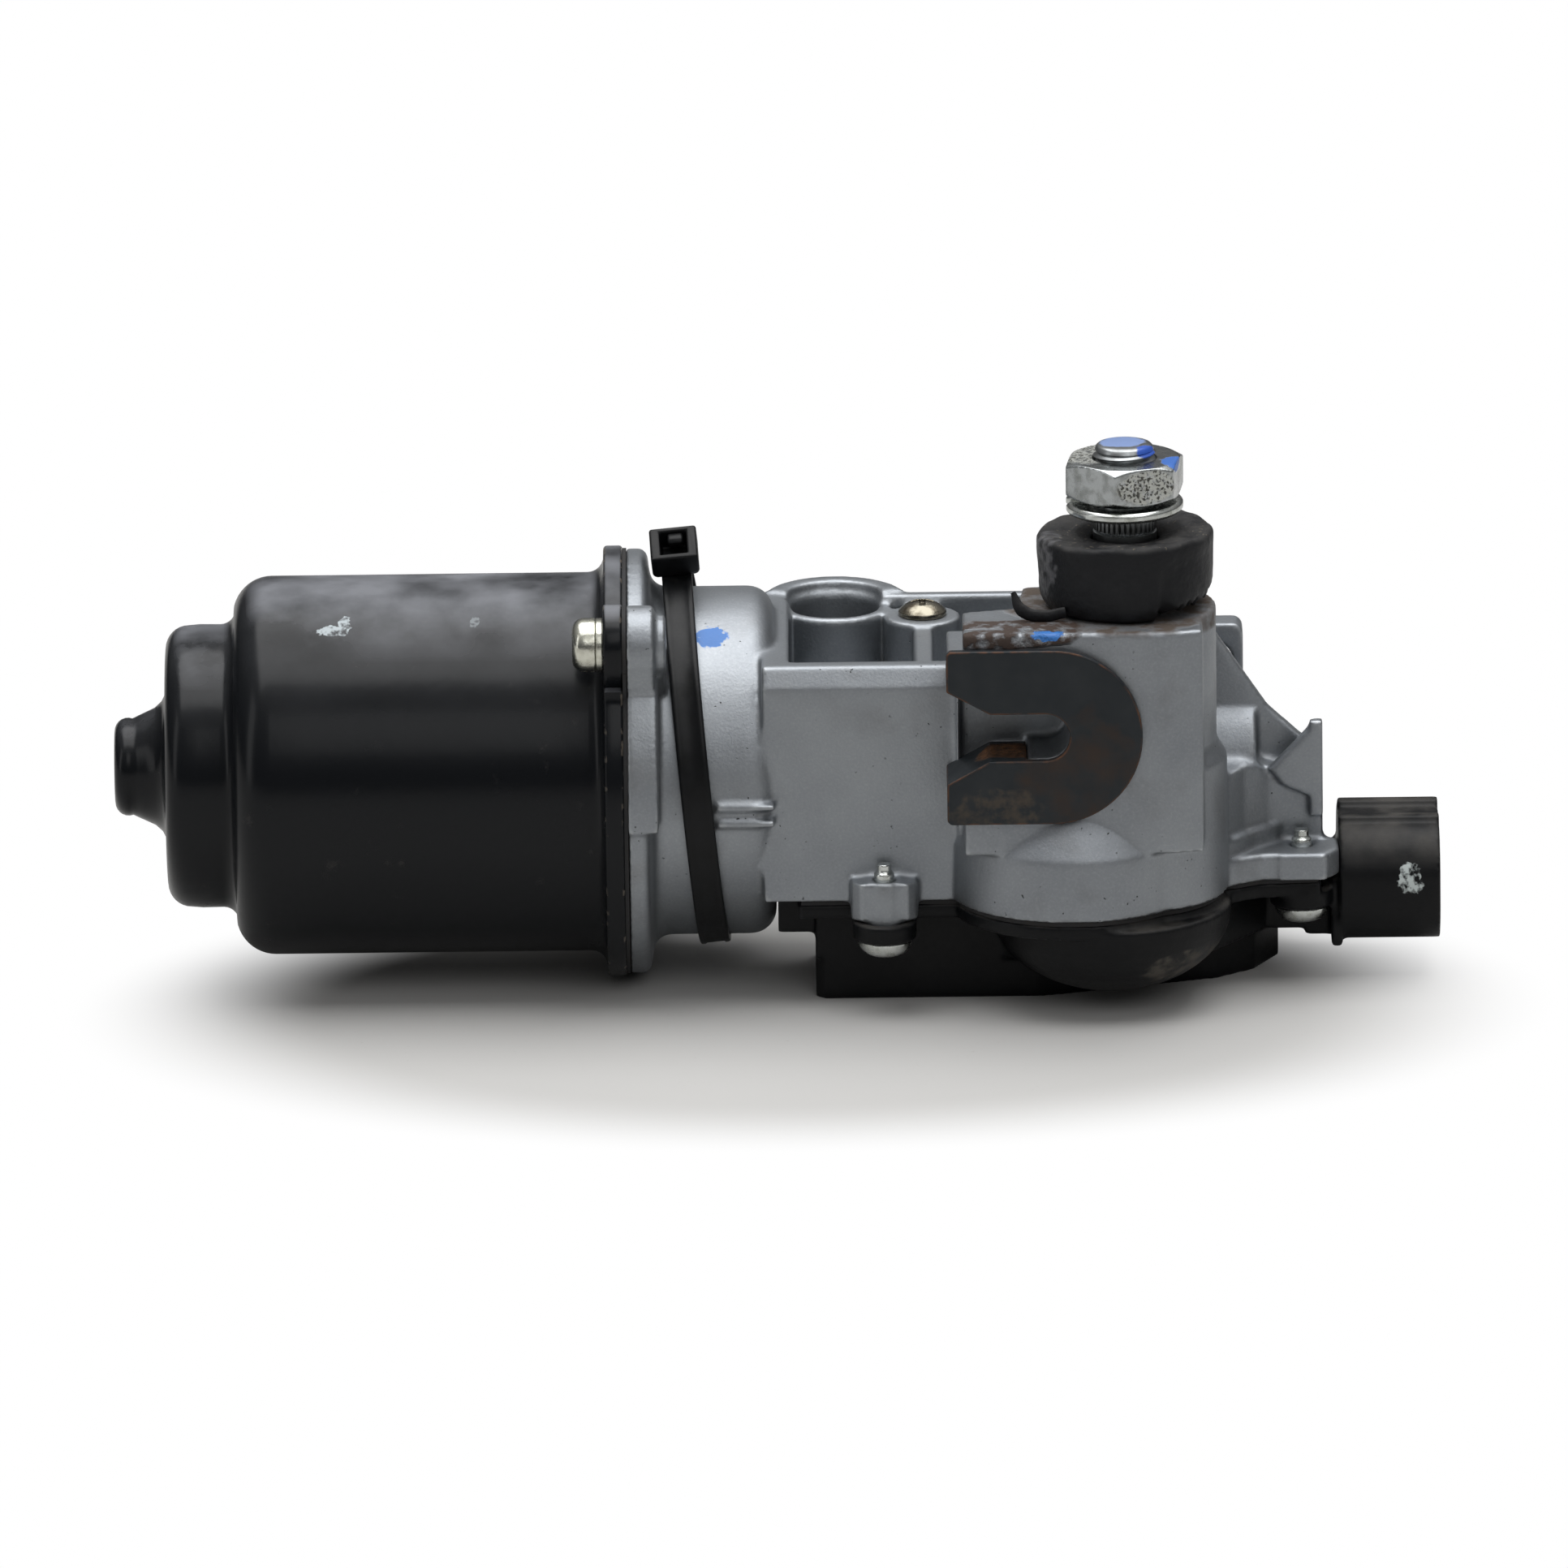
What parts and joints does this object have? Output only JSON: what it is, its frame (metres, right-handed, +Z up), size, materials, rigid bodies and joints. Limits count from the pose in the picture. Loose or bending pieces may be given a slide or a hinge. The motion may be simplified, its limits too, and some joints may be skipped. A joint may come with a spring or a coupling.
{
  "type": "windshield wiper motor",
  "caption": "Round motor can on a cast gear housing with a plastic gear cover, side connector, slotted mounting lug, grommet eye and a threaded output shaft in a rubber boot.",
  "frame": {"origin": "centre of the footprint on the surface the motor lies on", "axes": "+X from the motor can to the connector, +Y to the side away from the fork slot, +Z up along the output shaft"},
  "size_m": [0.2076, 0.0728, 0.0896],
  "materials": {
    "can_paint": "gloss black stoved paint on drawn steel",
    "zinc": "bright zinc plate",
    "seal_rubber": "moulded rubber",
    "cast_aluminium": "satin die casting",
    "black_plastic": "moulded, satin",
    "dark_steel": "dark coated steel with rust",
    "nylon": "moulded nylon",
    "boot_rubber": "dusty rubber",
    "shaft_steel": "turned steel",
    "bronze": "oiled bronze",
    "spring_steel": "spring steel",
    "gear_plastic": "moulded acetal",
    "copper": "copper",
    "board": "laminate board",
    "tin_plate": "tin plate",
    "orange_resin": "dipped resin",
    "core_steel": "laminated sheet steel",
    "bearing_steel": "polished bearing steel",
    "ferrite": "sintered ferrite",
    "brown_resin": "moulded phenolic",
    "carbon": "pressed carbon"
  },
  "bodies": {
    "housing": {"yoke": "can_paint", "yoke_screws": "zinc", "yoke_washers": "zinc", "yoke_gasket": "seal_rubber", "gear_housing": "cast_aluminium", "gear_cover": "black_plastic", "cover_gasket": "seal_rubber", "cover_screws": "zinc", "case_screw": "zinc", "fork_clip": "dark_steel", "cable_tie": "nylon", "shaft_boot": "boot_rubber", "output_bush": "bronze", "thrust_washer": "bronze", "park_contacts": "bronze", "contact_plate": "board", "terminals": "tin_plate", "choke_coils": "copper", "capacitor": "orange_resin", "thermal_breaker": "tin_plate", "rear_bush": "bronze", "thrust_ball": "bearing_steel", "front_bearing": "bearing_steel", "nose_bush": "bronze", "nose_ball": "bearing_steel", "magnets": "ferrite", "magnet_springs": "spring_steel", "brush_holder": "brown_resin", "brushes": "carbon", "brush_springs": "spring_steel"},
    "output": {"output_shaft": "shaft_steel", "gear_wheel": "gear_plastic", "park_disc": "copper", "output_nut": "zinc", "spring_washer": "zinc", "retaining_ring": "spring_steel"},
    "armature": {"armature_shaft": "shaft_steel", "worm": "shaft_steel", "armature_core": "core_steel", "windings": "copper", "commutator": "copper"}
  },
  "joints": [
    {"name": "output_turn", "type": "hinge", "parent": "housing", "child": "output", "pos_m": [0.0547, -0.0159, 0.0338], "axis": [0, 0, 1], "continuous": true},
    {"name": "armature_spin", "type": "hinge", "parent": "housing", "child": "armature", "pos_m": [0.0547, 0.00265, 0.0338], "axis": [1, 0, 0], "continuous": true}
  ],
  "couplings": [
    {"joint": "output_turn", "follows": "armature_spin", "ratio": 0.027027}
  ]
}
